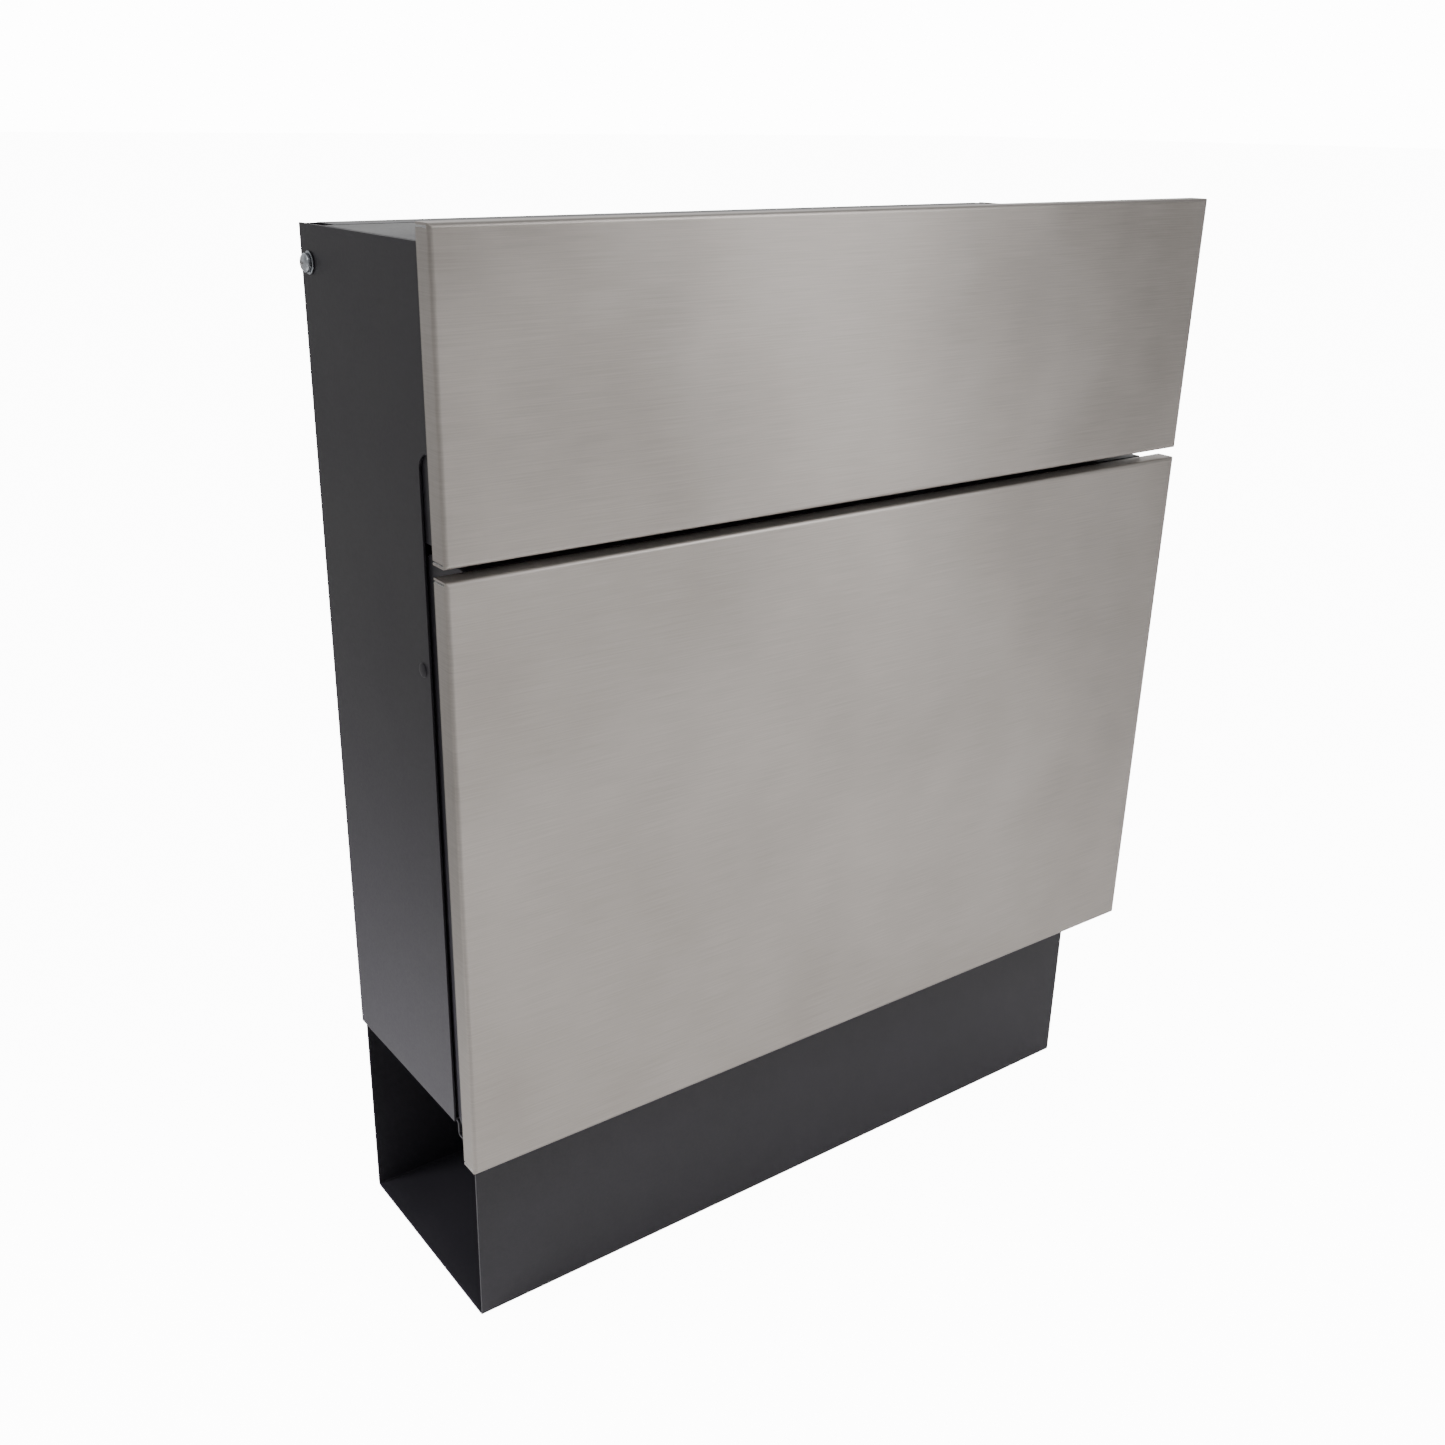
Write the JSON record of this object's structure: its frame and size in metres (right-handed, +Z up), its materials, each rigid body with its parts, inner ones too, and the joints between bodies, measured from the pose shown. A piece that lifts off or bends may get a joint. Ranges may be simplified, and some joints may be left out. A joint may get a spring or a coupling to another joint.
{
  "type": "wall mounted mailbox",
  "caption": "Flat wall mailbox with a lifting lid over the letter slot, a drop-down door, a cam lock under the lid and an open-ended newspaper compartment below.",
  "frame": {"origin": "on the rear face of the back wall, which lies on the building's wall, at the middle of the rectangle of wall holes", "axes": "+Z up, +Y into the wall, +X to the right as seen by someone standing in front"},
  "size_m": [0.37, 0.1255, 0.4412],
  "materials": {
    "powder_coat": "fine matt anthracite powder coat on sheet steel",
    "brushed_stainless": "stainless sheet ground lengthwise with a fine grit, horizontal grain",
    "stainless_stud": "plain stainless weld studs",
    "zinc_plate": "bright zinc plated steel fasteners and brackets",
    "nickel_plate": "nickel plated zinc casting and steel",
    "nylon": "natural nylon",
    "rubber": "black rubber"
  },
  "bodies": {
    "box": {"back_wall": "powder_coat", "side_left": "powder_coat", "side_right": "powder_coat", "floor_pan": "powder_coat", "front_band": "powder_coat", "newspaper_compartment": "powder_coat", "hinge_bracket_left": "zinc_plate", "hinge_bracket_right": "zinc_plate", "door_pin_left": "zinc_plate", "door_pin_right": "zinc_plate", "floor_rivet_1": "zinc_plate", "floor_rivet_2": "zinc_plate", "floor_rivet_3": "zinc_plate", "floor_rivet_4": "zinc_plate", "lid_screw_left": "zinc_plate", "lid_screw_right": "zinc_plate", "lid_washer_left": "zinc_plate", "lid_washer_right": "zinc_plate", "lid_bush_left": "nylon", "lid_bush_right": "nylon", "lid_screw_nut_left": "zinc_plate", "lid_screw_nut_right": "zinc_plate", "lid_bumper_left": "rubber", "lid_bumper_right": "rubber", "door_stop_left": "rubber", "door_stop_right": "rubber", "lock_housing": "nickel_plate", "lock_nut": "nickel_plate"},
    "lid": {"lid_cover": "powder_coat", "lid_panel": "brushed_stainless", "lid_stud_1": "stainless_stud", "lid_stud_2": "stainless_stud", "lid_stud_3": "stainless_stud", "lid_stud_4": "stainless_stud", "lid_nut_1": "zinc_plate", "lid_nut_2": "zinc_plate", "lid_nut_3": "zinc_plate", "lid_nut_4": "zinc_plate"},
    "door": {"door_shell": "powder_coat", "door_panel": "brushed_stainless", "door_stud_1": "stainless_stud", "door_stud_2": "stainless_stud", "door_stud_3": "stainless_stud", "door_stud_4": "stainless_stud", "door_nut_1": "zinc_plate", "door_nut_2": "zinc_plate", "door_nut_3": "zinc_plate", "door_nut_4": "zinc_plate"},
    "lock_rotor": {"lock_plug": "nickel_plate", "lock_cam": "nickel_plate", "cam_screw": "nickel_plate"}
  },
  "joints": [
    {"name": "lid_hinge", "type": "hinge", "parent": "box", "child": "lid", "pos_m": [0, -0.008, 0.1574], "axis": [-1, 0, 0], "range_deg": [0, 60]},
    {"name": "door_hinge", "type": "hinge", "parent": "box", "child": "door", "pos_m": [0, -0.1115, -0.1646], "axis": [1, 0, 0], "range_deg": [0, 90]},
    {"name": "lock_turn", "type": "hinge", "parent": "box", "child": "lock_rotor", "pos_m": [0, -0.1155, 0.1009], "axis": [0, 1, 0], "range_deg": [0, 90]}
  ]
}
